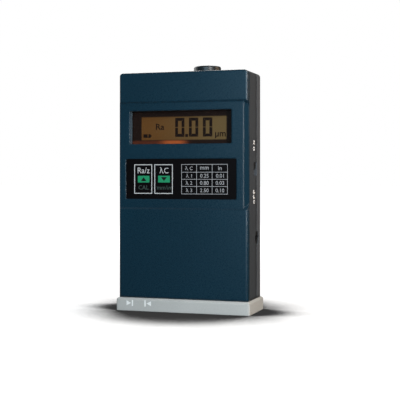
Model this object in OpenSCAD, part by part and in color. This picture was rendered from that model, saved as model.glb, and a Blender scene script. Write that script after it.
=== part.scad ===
// Pocket surface roughness tester. Millimetres, +Z up, front towards -Y, origin under the middle of the foot.

/* [Case] */
// Width of the case, left to right
case_w = 70.4; // [66:0.2:78]
// Depth of the case, front to back
case_d = 26.2; // [25:0.2:32]
// Height of the case above the foot
case_h = 118.2; // [116:0.2:130]
// Wall thickness of the three shells
case_wall = 2; // [1.6:0.1:2.4]
// Depth of the front cover
front_depth = 3.3; // [3:0.1:4]
// Depth of the rear cover
rear_depth = 8.1; // [7:0.1:9]
// Radius of the case's upper corners, seen from the front
corner_r = 2.6; // [0.8:0.1:3.2]
// Radius along the front edges
front_edge_r = 1; // [0.3:0.1:1.5]
// Radius along the back edges
back_edge_r = 1.5; // [1:0.1:4]
// Depth of the groove along the rear seam
seam_groove = 0.5; // [0.3:0.1:0.8]
// Width of the groove along the rear seam
seam_groove_w = 0.8; // [0.5:0.1:1.2]

/* [Waist] */
// Depth of the waist's upper step below the top of the case
waist_z = 15.7; // [15:0.1:18]
// Height of the waist between its two steps
waist_h = 55.5; // [53:0.1:57]
// Depth of the waist below the front face
waist_depth = 0.7; // [0.5:0.1:1.2]
// Width of the chamfer along the waist's right edge
waist_chamfer = 2.5; // [1:0.1:3]

/* [Display] */
// Width of the window
window_w = 55.7; // [48:0.1:57]
// Height of the window
window_h = 17.4; // [14:0.1:18.4]
// Sideways offset of the window's middle
window_x = -1.5; // [-2:0.05:2]
// Depth of the window's middle below the top of the case
window_z = 28.8; // [28.6:0.1:31]
// Depth of the window's walls
window_deep = 3.6; // [3.2:0.1:4.5]
// Radius of the window's corners
window_r = 0.6; // [0.2:0.1:1.5]
// Thickness of the rim behind the window
rim_t = 1.2; // [0.9:0.1:1.4]
// Thickness of the clear window
lens_t = 1; // [0.6:0.1:1.5]
// Thickness of the display glass
lcd_t = 2; // [1.4:0.1:2.4]
// Wall of the display holder
holder_wall = 1.3; // [0.8:0.1:1.5]
// Thickness of the holder's ledge under the display glass
holder_ledge = 1.6; // [1:0.1:2]

/* [Keypad] */
// Width of the printed film
panel_w = 60.4; // [54:0.1:62]
// Height of the printed film
panel_h = 20.9; // [17:0.1:22]
// Sideways offset of the film's middle
panel_x = -1.3; // [-1.6:0.05:1.4]
// Depth of the film's middle below the top of the case
panel_z = 55.8; // [55:0.05:57]
// Thickness of the film
film_t = 0.4; // [0.2:0.1:0.6]
// Depth of the film's face below the waist
film_inset = 0.1; // [0.05:0.05:0.3]
// Distance between the middles of the two keys
key_pitch = 11.4; // [9:0.1:14]
// Sideways offset of the pair of keys
keys_x = -16.1; // [-17:0.05:-13]
// Diameter of a key plunger
key_d = 5; // [4:0.1:6]
// Travel of a key
key_travel = 0.4; // [0.2:0.05:0.6]

/* [Circuit board] */
// Thickness of the board
board_t = 1.6; // [1:0.1:2]
// Height of the board's lower edge above the table
board_z = 52; // [51:0.1:54]
// Diameter of the board posts
post_d = 4.5; // [3.6:0.1:5]

/* [Foot] */
// Height of the foot
base_h = 6.8; // [6:0.1:8]
// How far the foot stands out round the case
base_lip = 1.2; // [0.6:0.1:2]
// Radius of the foot's upright corners
base_corner_r = 1; // [0.6:0.1:3]
// Chamfer round the foot's upper edge
base_chamfer = 1; // [0.4:0.1:1.2]
// Width of the stylus slot
slot_w = 6.4; // [5.6:0.1:8]

/* [Start button] */
// Diameter of the button
button_d = 14.3; // [11:0.1:14.6]
// Height of the button above the case
button_proud = 3.3; // [2.5:0.1:4.5]
// Travel of the button
button_travel = 1.5; // [1:0.1:2]
// Sideways place of the button
button_x = 9.6; // [6:0.1:12]
// Radius round the button's upper edge
button_edge_r = 0.9; // [0.4:0.1:1.4]
// Wall of the bush round the button
bush_wall = 0.8; // [0.6:0.1:1.2]
// Length of the bush below the top of the case
bush_len = 5.7; // [5:0.1:6.5]
// Wire diameter of the button's spring
spring_wire = 0.5; // [0.3:0.05:0.6]
// Turns of the button's spring
spring_turns = 4; // [3:1:6]

/* [Power switch] */
// Height of the switch slot
switch_slot_h = 7.1; // [6:0.1:9]
// Width of the switch slot
switch_slot_w = 6.4; // [3.6:0.1:6.6]
// Height of the slot's middle above the table
switch_z = 74.4; // [70:0.05:78]
// Height of the slider knob
knob_h = 3.4; // [2.6:0.1:4]

/* [Charging socket] */
// Bore of the socket
jack_bore_d = 3.5; // [2.5:0.1:4]
// Depth of the socket's bore
jack_bore_l = 9.5; // [8:0.1:11]
// Diameter of the socket's nose
jack_nose_d = 7.2; // [6:0.1:8]
// Height of the socket's axis above the table
jack_z = 38.3; // [36:0.1:38.5]

/* [Battery] */
// Diameter of one cell
cell_d = 10.5; // [9:0.1:10.7]
// Length of one cell
cell_l = 44.5; // [40:0.1:50]
// Number of cells
cell_count = 3; // [2:1:3]
// Wall of the battery holder
tray_wall = 1.2; // [0.8:0.1:1.6]

/* [Traverse drive] */
// Length of the measuring stroke
stroke = 6; // [4:0.1:7]
// Diameter of the lead screw
screw_d = 3; // [2.4:0.1:3.6]
// Diameter of the screw's journals
journal_d = 2; // [1.5:0.1:2.2]
// Height of the screw's axis above the table
screw_z = 24; // [23.8:0.1:24.4]
// Diameter of the guide rods
rod_d = 2.5; // [2:0.1:3]
// Distance of each guide rod from the screw
rod_y = 5.2; // [4.8:0.1:5.3]
// Thickness of the chassis sheet
sheet_t = 1.5; // [1:0.1:1.8]
// Length of the carriage
carriage_l = 12; // [10:0.1:14]
// Tooth size of the gears
gear_module = 0.5; // [0.48:0.01:0.55]
// Teeth on the screw's gear
gear_teeth = 30; // [28:2:32]
// Teeth on the motor's pinion
pinion_teeth = 10; // [10:2:12]
// Width of the gears
gear_w = 2.5; // [1.5:0.1:2.5]
// Diameter of the motor
motor_d = 12; // [10:0.1:12.4]
// Length of the motor
motor_l = 20; // [15:0.1:24]
// Diameter of the motor's shaft
shaft_d = 1.5; // [1:0.1:1.8]

/* [Pickup] */
// Length of the pickup body
pickup_l = 23; // [20:0.1:24]
// Width of the pickup body
pickup_w = 8; // [7:0.1:9]
// Height of the pickup body
pickup_h = 6; // [5.4:0.1:7]
// Place of the stylus at the start of its stroke, from the left side of the case
stylus_x = 8.6; // [8:0.1:10]
// Diameter of the stylus stem
stylus_d = 1.2; // [0.8:0.1:1.4]
// Height of the stylus point above the table
stylus_lift = 0.3; // [0.3:0.05:0.6]
// Thickness of the skid
skid_t = 1.4; // [1:0.1:2]
// Diameter of the stylus pivot pin
pivot_d = 1; // [0.8:0.1:1.2]

/* [Fasteners and fits] */
// Diameter of the case screws
case_screw_d = 2.5; // [2:0.1:3]
// Diameter of the small screws
small_screw_d = 2; // [1.6:0.1:2.2]
// Radial clearance of a shaft or slider that runs
run_gap = 0.05; // [0.03:0.01:0.08]
// Radial clearance of a piece that is fixed in its seat
seat_gap = 0.02; // [0.01:0.01:0.05]
// Clearance between pieces that pass each other
part_gap = 0.3; // [0.25:0.05:0.4]

/* [Hidden] */
$fn = 48;
through = 1;

half_w = case_w / 2;
front_y = -case_d / 2;
back_y = case_d / 2;
front_seam_y = front_y + front_depth;
rear_seam_y = back_y - rear_depth;
top_z = base_h + case_h;
in_x = half_w - case_wall;
floor_z = base_h + case_wall;
roof_z = top_z - case_wall;
face_y = front_y + waist_depth;
in_front_y = face_y + case_wall;
in_back_y = back_y - case_wall;
waist_top = top_z - waist_z;
waist_low = waist_top - waist_h;
window_mid_z = top_z - window_z;
panel_mid_z = top_z - panel_z;

rim_y = face_y + window_deep;
lens_y = rim_y + lens_t;
lcd_y = lens_y + lcd_t;
board_y = lcd_y + holder_ledge;
board_back_y = board_y + board_t;
lens_lap = 0.6;
lens_w = window_w + 2 * lens_lap;
lens_h = window_h + 2 * lens_lap;

lip_t = 1;
lip_h = 1.5;
lip_root = 2;
lip_gap = 0.1;

film_y = face_y + film_inset;
pocket_y = film_y + film_t;
key_drop = 0.1;
key_z = panel_mid_z - key_drop;
keys = [keys_x - key_pitch / 2, keys_x + key_pitch / 2];
tact_h = 3.1;
tact_w = 6;
tact_button_d = 3.4;
tact_button_h = 0.7;
tact_y = board_y - tact_h;
key_back_y = tact_y - tact_button_h - key_travel - run_gap;
key_flange_t = 0.8;
key_guide_y = key_back_y - key_flange_t - part_gap / 2;

button_y = 0;
button_r = button_d / 2;
bush_in_r = button_r + run_gap;
bush_r = bush_in_r + bush_wall;
bush_flange_t = 0.6;
bush_flange_r = bush_r + bush_flange_t;
bush_z = top_z - bush_len;
button_flange_r = bush_in_r + bush_wall * 0.7;
button_flange_t = 0.8;
button_flange_z = bush_z - part_gap / 2 - button_flange_t;
button_post_z = button_flange_z - lip_gap;
start_switch_h = 2;
start_switch_button_h = 0.6;
shelf_z = button_post_z - button_travel - run_gap - start_switch_button_h - start_switch_h;
shelf_t = 1.5;
shelf_leg = 1.2;
shelf_r = bush_r + part_gap * 2 + shelf_leg;
spring_gap = 0.4;
spring_deep = 1.5;
spring_r = tact_w * sqrt(2) / 2 + spring_wire / 2 + spring_gap;
spring_top = button_flange_z + spring_deep;
pocket_r = spring_r + spring_wire / 2 + spring_gap;

board_edge = 2.2;
board_post_in = 2.5;
board_w = 2 * (in_x - board_edge);
board_top = shelf_z - shelf_t - part_gap;
board_post_x = board_w / 2 - board_post_in;
board_post_z = [board_z + board_post_in, board_top - board_post_in];

case_post_r = 3.2;
case_post_in = 0.5;
case_post_under = 1.3;
case_post_drop = 5;
case_post_x = in_x - case_post_r - case_post_in;
case_post_z = [board_z - case_post_r - case_post_under, roof_z - case_post_drop];
screw_end_gap = 0.2;
case_hole_y = pocket_y + 2 * screw_end_gap;
screw_hole_gap = 0.15;
case_head_r = 2.3;
case_head_h = 1.4;
case_head_y = back_y - case_head_h - screw_end_gap;

switch_y = rear_seam_y - switch_slot_w / 2;
switch_end = 2;
switch_body_h = switch_slot_h + 2 * switch_end;
switch_body_w = 8;
switch_back = 1;
knob_z = switch_z + switch_slot_h / 2 - part_gap / 2 - knob_h;
knob_deep = 2.6;

jack_y = rear_seam_y;
jack_wall = 0.9;
jack_inset = 0.5;
jack_end = 1.5;
jack_block = jack_nose_d + 2 * jack_wall;
jack_x = half_w - jack_inset;
jack_back_x = jack_x - jack_bore_l - jack_end;

tray_x = -4;
tray_floor = 1;
cell_gap = 0.3;
cell_pitch = cell_d + cell_gap;
contact_t = 1;
tray_w = cell_count * cell_pitch + 2 * tray_wall;
tray_l = cell_l + 2 * contact_t + 2 * tray_wall;
cell_y = in_back_y - tray_floor - cell_d / 2;

screw_y = 0;
screw_r = screw_d / 2;
journal_r = journal_d / 2;
rod_r = rod_d / 2;
mount_boss_h = 2;
mount_boss_r = 2.5;
plate_back_y = in_back_y - mount_boss_h;
plate_y = plate_back_y - sheet_t;
lug_end_y = -plate_y;
tip_x = -half_w + stylus_x;
stylus_reach = 3.6;
nose_x = tip_x + stylus_reach;
pickup_x = nose_x + pickup_l;
carriage_in = 8;
carriage_x = pickup_x - carriage_in;
carriage_end = carriage_x + carriage_l;
limit_x = 3;
limit_pin_l = 1.4;
left_lug_x = carriage_x - part_gap - limit_pin_l - limit_x;
right_lug_x = carriage_end + stroke + part_gap + limit_pin_l + limit_x;
plate_x = [left_lug_x - sheet_t, right_lug_x + sheet_t];
plate_low = 10.5;
plate_top = 44;
plate_z = [plate_low, plate_top];
pickup_top = 18;
left_lug_top = 30;
right_lug_low = 14;
left_lug_z = [pickup_top + 2 * part_gap, left_lug_top];
right_lug_z = [right_lug_low, plate_top];
tray_z = plate_top + lip_t;
cell_z = tray_z + tray_wall + contact_t;
bearing_wall = 1.5;
bearing_lap = 0.7;
bearing_r = journal_r + bearing_wall;
bearing_flange_r = bearing_r + bearing_lap;
bearing_flange_t = 0.5;
gear_x = plate_x[1] + part_gap;
gear_end_x = gear_x + gear_w;
mesh_gap = 0.05;
motor_z = screw_z + gear_module * (gear_teeth + pinion_teeth) / 2 + mesh_gap;
motor_boss_wall = 1.2;
motor_boss_r = shaft_d / 2 + motor_boss_wall;
motor_screw_y = 4.2;
motor_screw_r = 0.8;
motor_screw_head_r = 1.4;
carriage_y = plate_y - part_gap - lip_gap;
carriage_top = motor_z - motor_d / 2 - part_gap - lip_gap;
limit_y = [-carriage_y, -bearing_flange_r - part_gap];
limit_z = [left_lug_z[0] + screw_end_gap, screw_z - rod_r - part_gap];
limit_pin_r = 0.5;
chassis_screw_in = 3;
chassis_screw_x = [plate_x[0] + chassis_screw_in, right_lug_x - chassis_screw_in];
chassis_screw_z = [plate_low + chassis_screw_in, plate_top - chassis_screw_in];

pickup_z = pickup_top - pickup_h;
pickup_wall = 1;
pickup_mid_z = (pickup_z + pickup_top) / 2;
pickup_in_y = pickup_w / 2 - 1.4 * pickup_wall;
pickup_end = 2;
pivot_in = 7;
pivot_x = nose_x + pivot_in;
arm_w = 1.6;
arm_h = 1.2;
arm_hub_wall = 0.8;
arm_hub_r = pivot_d / 2 + arm_hub_wall;
arm_tail = 4;
arm_tail_x = pivot_x + arm_tail;
tip_h = 1;
piezo_t = 0.6;
piezo_w = 3;
piezo_gap = 0.5;
piezo_x = arm_tail_x + piezo_gap;
piezo_seat = 3;
slot_gap = 1;
skid_foot_w = slot_w - 2 * slot_gap;
skid_lift = stylus_lift + lip_gap;
skid_window_gap = 0.6;
skid_window = arm_w + 2 * skid_window_gap;
slot_x = [tip_x - stylus_d / 2 - 1.2 * slot_gap, nose_x + stroke + 1.5 * slot_gap];

base_w = case_w + 2 * base_lip;
base_d = case_d + 2 * base_lip;
base_head_sunk = 0.4;
base_boss_r = 2.2;
base_boss_h = 7;
base_pilot_z = [base_h - through, floor_z + base_boss_h - lip_t];
base_screw_x = in_x - base_boss_r;
base_screw_front = -4.5;
base_screw_y = [base_screw_front, in_back_y - base_boss_r];
screw_head_lap = 0.9;
screw_head_r = small_screw_d / 2 + screw_head_lap;
screw_head_h = 1.2;
cross_share = 0.65;
cross_w = 0.6;
cross_deep = 0.7;
small_r = small_screw_d / 2;

blue = [0.13, 0.25, 0.32];
dark_grey = [0.27, 0.28, 0.29];
grey = [0.38, 0.38, 0.39];
pale_grey = [0.66, 0.68, 0.67];
black = [0.06, 0.06, 0.07];
steel = [0.72, 0.73, 0.75];
brass = [0.75, 0.6, 0.3];
green = [0.1, 0.36, 0.22];

// A box between two limits on each axis
module block(x, y, z) {
    translate([x[0], y[0], z[0]])
        cube([x[1] - x[0], y[1] - y[0], z[1] - z[0]]);
}

// A profile drawn in X and Z, run along Y
module along_y(y) {
    translate([0, y[1], 0])
        rotate([90, 0, 0])
            linear_extrude(y[1] - y[0])
                children();
}

// A profile drawn in Y and Z, run along X
module along_x(x) {
    translate([x[0], 0, 0])
        rotate([90, 0, 90])
            linear_extrude(x[1] - x[0])
                children();
}

// Round bars along the three axes
module bar_x(r, x, y, z) {
    along_x(x)
        translate([y, z])
            circle(r);
}

module bar_y(r, y, x, z) {
    along_y(y)
        translate([x, z])
            circle(r);
}

module bar_z(r, z, x, y) {
    translate([x, y, z[0]])
        cylinder(r = r, h = z[1] - z[0]);
}

// A rectangle with round corners about its middle
module rounded_rect(w, h, r) {
    square([w - 2 * r, h], center = true);
    square([w, h - 2 * r], center = true);
    for (x = [-1, 1], y = [-1, 1])
        translate([x * (w / 2 - r), y * (h / 2 - r)])
            circle(r);
}

// The case seen from the front, or the same set in: round corners above, square ones on the foot
module case_front_outline(inset = 0) {
    w = case_w - 2 * inset;
    h = case_h - inset;
    translate([0, base_h + h / 2])
        rounded_rect(w, h, corner_r);
    translate([-w / 2, base_h])
        square([w, h / 2]);
}

// A closed bar from its front to its back, with round edges of radius r at one side only
module one_side_rounded(w, y_flat, y_round, r) {
    d = sign(y_round - y_flat);
    inner_y = y_round - d * r;
    translate([-w / 2, min(y_flat, inner_y)])
        square([w, abs(inner_y - y_flat)]);
    translate([-w / 2 + r, min(y_flat, y_round)])
        square([w - 2 * r, abs(y_round - y_flat)]);
    for (x = [-1, 1])
        translate([x * (w / 2 - r), inner_y])
            circle(r);
}

// A shell blank: the case outline, rounded along its outer edges on one side
module shell_blank(y_flat, y_round, r) {
    y_span = [min(y_flat, y_round), max(y_flat, y_round)];
    mid_z = base_h + case_h / 2;
    intersection() {
        along_y(y_span)
            case_front_outline();
        translate([0, 0, base_h])
            linear_extrude(case_h)
                one_side_rounded(case_w, y_flat, y_round, r);
        along_x([-half_w, half_w])
            translate([0, mid_z])
                rotate(-90)
                    mirror([1, 0])
                        one_side_rounded(case_h, y_flat, y_round, r);
    }
}

// What the waist takes off the front: a flat floor, open at the left, chamfered at the right, with sloped ends
module waist_cut() {
    ahead_y = front_y - through;
    floor_x = half_w - waist_chamfer;
    chamfer_y = face_y + waist_chamfer;
    step_low = waist_low - (front_y + face_y) / 2;
    step_high = waist_top + (front_y + face_y) / 2;
    intersection() {
        translate([0, 0, base_h])
            linear_extrude(case_h)
                polygon([[-half_w - through, ahead_y], [half_w + through, ahead_y],
                    [half_w + through, chamfer_y + through], [floor_x, face_y],
                    [-half_w - through, face_y]]);
        along_x([-half_w - 2 * through, half_w + 2 * through])
            polygon([[ahead_y, step_low + ahead_y], [front_seam_y, step_low + front_seam_y],
                [front_seam_y, step_high - front_seam_y], [ahead_y, step_high - ahead_y]]);
    }
}

// The holes of the four case screws, and of the base screws on one line
module case_screw_holes(r, y) {
    for (x = [-1, 1], z = case_post_z)
        bar_y(r, y, x * case_post_x, z);
}

module base_screw_holes(r, z, y) {
    for (x = [-1, 1])
        bar_z(r, z, x * base_screw_x, y);
}

module front_cover() {
    color(blue)
        difference() {
            union() {
                difference() {
                    shell_blank(front_seam_y, front_y, front_edge_r);
                    waist_cut();
                    block([-in_x, in_x], [in_front_y, front_seam_y + through], [floor_z, roof_z]);
                }
                along_y([in_front_y - case_wall / 2, rim_y])
                    translate([window_x, window_mid_z])
                        rounded_rect(window_w + 2 * rim_t, window_h + 2 * rim_t, window_r + rim_t);
                for (x = [-1, 1], z = board_post_z)
                    bar_y(post_d / 2, [in_front_y - case_wall / 2, board_y], x * board_post_x, z);
                for (x = keys)
                    bar_y(key_d / 2 + rim_t, [in_front_y - case_wall / 2, key_guide_y], x, key_z);
                case_screw_holes(case_post_r, [in_front_y - case_wall / 2, front_seam_y]);
            }
            along_y([front_y - through, rim_y + through])
                translate([window_x, window_mid_z])
                    rounded_rect(window_w, window_h, window_r);
            along_y([front_y - through, pocket_y])
                translate([panel_x, panel_mid_z])
                    rounded_rect(panel_w + 2 * run_gap, panel_h + 2 * run_gap, window_r + run_gap);
            for (x = keys)
                bar_y(key_d / 2 + run_gap, [front_y, board_y], x, key_z);
            for (x = [-1, 1], z = board_post_z)
                bar_y(small_r + seat_gap, [in_front_y, board_y + through], x * board_post_x, z);
            case_screw_holes(case_screw_d / 2 + seat_gap, [case_hole_y, front_seam_y + through]);
        }
}

// The openings that the two grey shells share: button bush, switch slot and socket
module shared_openings() {
    bar_z(bush_r + run_gap, [roof_z - lip_t - 2 * through, top_z + through], button_x, button_y);
    block([in_x - through, half_w + through], [switch_y - switch_slot_w / 2, rear_seam_y],
        [switch_z - switch_slot_h / 2, switch_z + switch_slot_h / 2]);
    bar_x(jack_nose_d / 2 + lip_gap, [in_x - through, half_w + through], jack_y, jack_z);
}

// The tongue of the middle frame that centres the rear cover
module seam_lip() {
    lip_x = in_x - lip_gap;
    lip_top = roof_z - lip_gap;
    clear = part_gap;
    difference() {
        union() {
            block([-lip_x, lip_x], [rear_seam_y - lip_root, rear_seam_y + lip_h], [floor_z, lip_top]);
            block([-in_x, in_x], [rear_seam_y - lip_root, rear_seam_y], [floor_z, roof_z]);
        }
        block([-lip_x + lip_t, lip_x - lip_t], [rear_seam_y - 2 * lip_root, rear_seam_y + 2 * lip_root],
            [floor_z - through, lip_top - lip_t]);
        block([-half_w, half_w], [rear_seam_y - 2 * lip_root, rear_seam_y + 2 * lip_root],
            [floor_z - through, jack_z + jack_block / 2 + clear]);
        block([0, half_w], [rear_seam_y - 2 * lip_root, rear_seam_y + 2 * lip_root],
            [switch_z - switch_body_h / 2 - clear, switch_z + switch_body_h / 2 + clear]);
        for (x = [-1, 1], z = case_post_z)
            bar_y(case_post_r + clear, [rear_seam_y, rear_seam_y + 2 * lip_root], x * case_post_x, z);
    }
}

module middle_frame() {
    frame_y = [front_seam_y, rear_seam_y];
    color(dark_grey)
        difference() {
            union() {
                difference() {
                    union() {
                        along_y([frame_y[0], frame_y[1] - seam_groove_w])
                            case_front_outline();
                        along_y(frame_y)
                            case_front_outline(seam_groove);
                    }
                    block([-in_x, in_x], [frame_y[0] - through, frame_y[1] + through], [floor_z, roof_z]);
                }
                seam_lip();
                for (x = [-1, 1], z = case_post_z) {
                    bar_y(case_post_r, frame_y, x * case_post_x, z);
                    block([min(x * case_post_x, x * in_x), max(x * case_post_x, x * in_x)], frame_y,
                        [z - shelf_leg, z + shelf_leg]);
                }
                base_screw_holes(base_boss_r, [base_h, floor_z + base_boss_h], base_screw_y[0]);
                block([button_x - shelf_r, button_x + shelf_r], [button_y - bush_r + 1, rear_seam_y - part_gap],
                    [shelf_z - shelf_t, shelf_z]);
                for (x = [-shelf_r, shelf_r - shelf_leg])
                    block([button_x + x, button_x + x + shelf_leg],
                        [button_y - bush_r + 1, rear_seam_y - part_gap], [shelf_z - shelf_t, roof_z]);
            }
            shared_openings();
            block(slot_x, [-slot_w / 2, slot_w / 2], [base_h - through, floor_z + through]);
            case_screw_holes(case_screw_d / 2 + screw_hole_gap, [frame_y[0] - through, frame_y[1] + through]);
            base_screw_holes(small_r + seat_gap, base_pilot_z, base_screw_y[0]);
        }
}

module rear_cover() {
    color(grey)
        difference() {
            union() {
                difference() {
                    shell_blank(rear_seam_y, back_y, back_edge_r);
                    block([-in_x, in_x], [rear_seam_y - through, in_back_y], [floor_z, roof_z]);
                }
                intersection() {
                    shell_blank(rear_seam_y, back_y, back_edge_r);
                    union() {
                        for (x = [-1, 1], z = case_post_z)
                            bar_y(case_post_r, [rear_seam_y, back_y], x * case_post_x, z);
                        base_screw_holes(base_boss_r, [base_h, floor_z + base_boss_h], base_screw_y[1]);
                        for (x = chassis_screw_x, z = chassis_screw_z)
                            bar_y(mount_boss_r, [plate_back_y, in_back_y + case_wall / 2], x, z);
                        for (x = [-in_x, in_x - case_wall / 2])
                            block([x, x + case_wall / 2], [in_back_y - case_wall / 2, back_y],
                                [floor_z, roof_z]);
                    }
                }
            }
            shared_openings();
            case_screw_holes(case_screw_d / 2 + screw_hole_gap, [rear_seam_y - through, back_y + through]);
            case_screw_holes(case_head_r + part_gap, [case_head_y, back_y + through]);
            base_screw_holes(small_r + seat_gap, base_pilot_z, base_screw_y[1]);
            for (x = chassis_screw_x, z = chassis_screw_z)
                bar_y(small_r + seat_gap, [plate_back_y - through, back_y - 1], x, z);
        }
}

// The blank of the foot: upright sides and a chamfer above
module base_blank() {
    shoulder_z = base_h - base_chamfer;
    linear_extrude(shoulder_z)
        rounded_rect(base_w, base_d, base_corner_r);
    intersection() {
        linear_extrude(base_h)
            rounded_rect(base_w, base_d, base_corner_r);
        along_x([-base_w, base_w])
            polygon([[-base_d / 2, 0], [base_d / 2, 0], [base_d / 2, shoulder_z],
                [base_d / 2 - base_chamfer, base_h], [-base_d / 2 + base_chamfer, base_h],
                [-base_d / 2, shoulder_z]]);
        along_y([-base_d, base_d])
            polygon([[-base_w / 2, 0], [base_w / 2, 0], [base_w / 2, shoulder_z],
                [base_w / 2 - base_chamfer, base_h], [-base_w / 2 + base_chamfer, base_h],
                [-base_w / 2, shoulder_z]]);
    }
}

module base_foot() {
    color(pale_grey)
        difference() {
            base_blank();
            block(slot_x, [-slot_w / 2, slot_w / 2], [-through, base_h + through]);
            for (y = base_screw_y) {
                base_screw_holes(small_r + screw_hole_gap, [-through, base_h + through], y);
                base_screw_holes(screw_head_r + part_gap, [-through, base_head_sunk + screw_head_h], y);
            }
        }
}

module display_window() {
    color([0.8, 0.85, 0.85, 0.4])
        along_y([rim_y, lens_y])
            translate([window_x, window_mid_z])
                rounded_rect(lens_w, lens_h, window_r);
}

module lcd_panel() {
    color([0.45, 0.36, 0.25])
        block([window_x - lens_w / 2, window_x + lens_w / 2], [lens_y, lcd_y],
            [window_mid_z - lens_h / 2, window_mid_z + lens_h / 2]);
}

// Two rails above and below the glass, on a ledge behind it
module lcd_holder() {
    pocket_h = lens_h + 2 * run_gap;
    color(black)
        difference() {
            along_y([rim_y, board_y])
                translate([window_x, window_mid_z])
                    rounded_rect(lens_w, pocket_h + 2 * holder_wall, window_r);
            block([window_x - lens_w, window_x + lens_w], [rim_y - through, lcd_y],
                [window_mid_z - pocket_h / 2, window_mid_z + pocket_h / 2]);
            along_y([rim_y, board_y + through])
                translate([window_x, window_mid_z])
                    square([window_w - 2 * rim_t, window_h - 2 * rim_t], center = true);
        }
}

module keypad_overlay() {
    color(black)
        along_y([film_y, pocket_y])
            translate([panel_x, panel_mid_z])
                rounded_rect(panel_w, panel_h, window_r);
}

// A stepped plunger between the film and its switch
module key_plunger(x) {
    bar_y(key_d / 2, [pocket_y + run_gap, key_back_y], x, key_z);
    bar_y(key_d / 2 + rim_t, [key_back_y - key_flange_t, key_back_y], x, key_z);
}

module key_plunger_left() {
    color([0.85, 0.85, 0.82])
        key_plunger(keys[0]);
}

module key_plunger_right() {
    color([0.85, 0.85, 0.82])
        key_plunger(keys[1]);
}

module key_switches() {
    color(black)
        for (x = keys) {
            block([x - tact_w / 2, x + tact_w / 2], [tact_y, board_y],
                [key_z - tact_w / 2, key_z + tact_w / 2]);
            bar_y(tact_button_d / 2, [tact_y - tact_button_h, tact_y], x, key_z);
        }
}

module main_board() {
    color(green)
        difference() {
            block([-board_w / 2, board_w / 2], [board_y, board_back_y], [board_z, board_top]);
            for (x = [-1, 1], z = board_post_z)
                bar_y(small_r + screw_hole_gap, [board_y - through, board_back_y + through],
                    x * board_post_x, z);
        }
}

// The larger packages on the back of the board, in processor widths from the middle of its lower edge:
// processor, memory, amplifier, crystal and plug strip
module board_parts() {
    chip_w = 13;
    chip_t = 1.3;
    layout = [[-0.9, 1.85, 1, 1], [0.3, 1.85, 0.7, 0.45], [0.3, 0.9, 0.55, 0.4], [-0.9, 0.75, 0.75, 0.3],
        [0.8, 2.8, 0.9, 0.4]];
    color(black)
        for (p = chip_w * layout)
            block([p[0] - p[2] / 2, p[0] + p[2] / 2], [board_back_y, board_back_y + chip_t],
                [board_z + p[1] - p[3] / 2, board_z + p[1] + p[3] / 2]);
}

module board_screws() {
    color(steel)
        for (x = [-1, 1], z = board_post_z) {
            bar_y(small_r, [in_front_y + screw_end_gap, board_back_y], x * board_post_x, z);
            bar_y(screw_head_r, [board_back_y, board_back_y + screw_head_h], x * board_post_x, z);
        }
}

module start_button() {
    button_top = top_z + button_proud;
    color(black)
        translate([button_x, button_y, 0])
            difference() {
                union() {
                    rotate_extrude()
                        union() {
                            translate([0, button_flange_z])
                                square([button_r, button_top - button_edge_r - button_flange_z]);
                            translate([0, button_flange_z])
                                square([button_r - button_edge_r, button_top - button_flange_z]);
                            translate([button_r - button_edge_r, button_top - button_edge_r])
                                circle(button_edge_r);
                            translate([0, button_flange_z])
                                square([button_flange_r, button_flange_t]);
                        }
                }
                difference() {
                    translate([0, 0, button_flange_z - through])
                        cylinder(r = pocket_r, h = spring_top - button_flange_z + through);
                    translate([0, 0, button_post_z])
                        cylinder(r = tact_button_d / 2, h = spring_top);
                }
            }
}

module button_bush() {
    color(black)
        translate([button_x, button_y, 0])
            difference() {
                union() {
                    translate([0, 0, bush_z])
                        cylinder(r = bush_r, h = bush_len);
                    translate([0, 0, top_z])
                        cylinder(r = bush_flange_r, h = bush_flange_t);
                }
                translate([0, 0, bush_z - through])
                    cylinder(r = bush_in_r, h = bush_len + bush_flange_t + 2 * through);
            }
}

// A wire swept along a helix from the shelf to the button
module start_spring() {
    sides = 8;
    steps = 16 * spring_turns;
    wire_r = spring_wire / 2;
    low = shelf_z + wire_r + seat_gap;
    rise = spring_top - shelf_z - 2 * (wire_r + seat_gap);
    ring_points = [for (i = [0:steps], k = [0:sides - 1])
        let (a = 360 * spring_turns * i / steps, b = 360 * k / sides, r = spring_r + wire_r * cos(b))
        [button_x + r * cos(a), button_y + r * sin(a), low + rise * i / steps + wire_r * sin(b)]];
    walls = [for (i = [0:steps - 1], k = [0:sides - 1])
        let (n = (k + 1) % sides)
        [i * sides + k, (i + 1) * sides + k, (i + 1) * sides + n, i * sides + n]];
    start_cap = [[for (k = [0:sides - 1]) k]];
    end_cap = [[for (k = [sides - 1:-1:0]) steps * sides + k]];
    color(steel)
        polyhedron(ring_points, concat(start_cap, walls, end_cap));
}

module start_switch() {
    color(black)
        translate([button_x, button_y, shelf_z]) {
            translate([0, 0, start_switch_h / 2])
                cube([tact_w, tact_w, start_switch_h], center = true);
            cylinder(r = tact_button_d / 2, h = start_switch_h + start_switch_button_h);
        }
}

// Room for the slider, shared by the switch body and the wall of the case
module slider_space(x) {
    block(x, [switch_y - switch_slot_w / 2, switch_y + switch_slot_w / 2],
        [switch_z - switch_slot_h / 2, switch_z + switch_slot_h / 2]);
}

module power_switch() {
    color(black)
        difference() {
            block([in_x - switch_body_w, in_x], [board_back_y, switch_y + switch_slot_w / 2 + switch_back],
                [switch_z - switch_body_h / 2, switch_z + switch_body_h / 2]);
            slider_space([in_x - knob_deep - part_gap, in_x + through]);
        }
}

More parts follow.
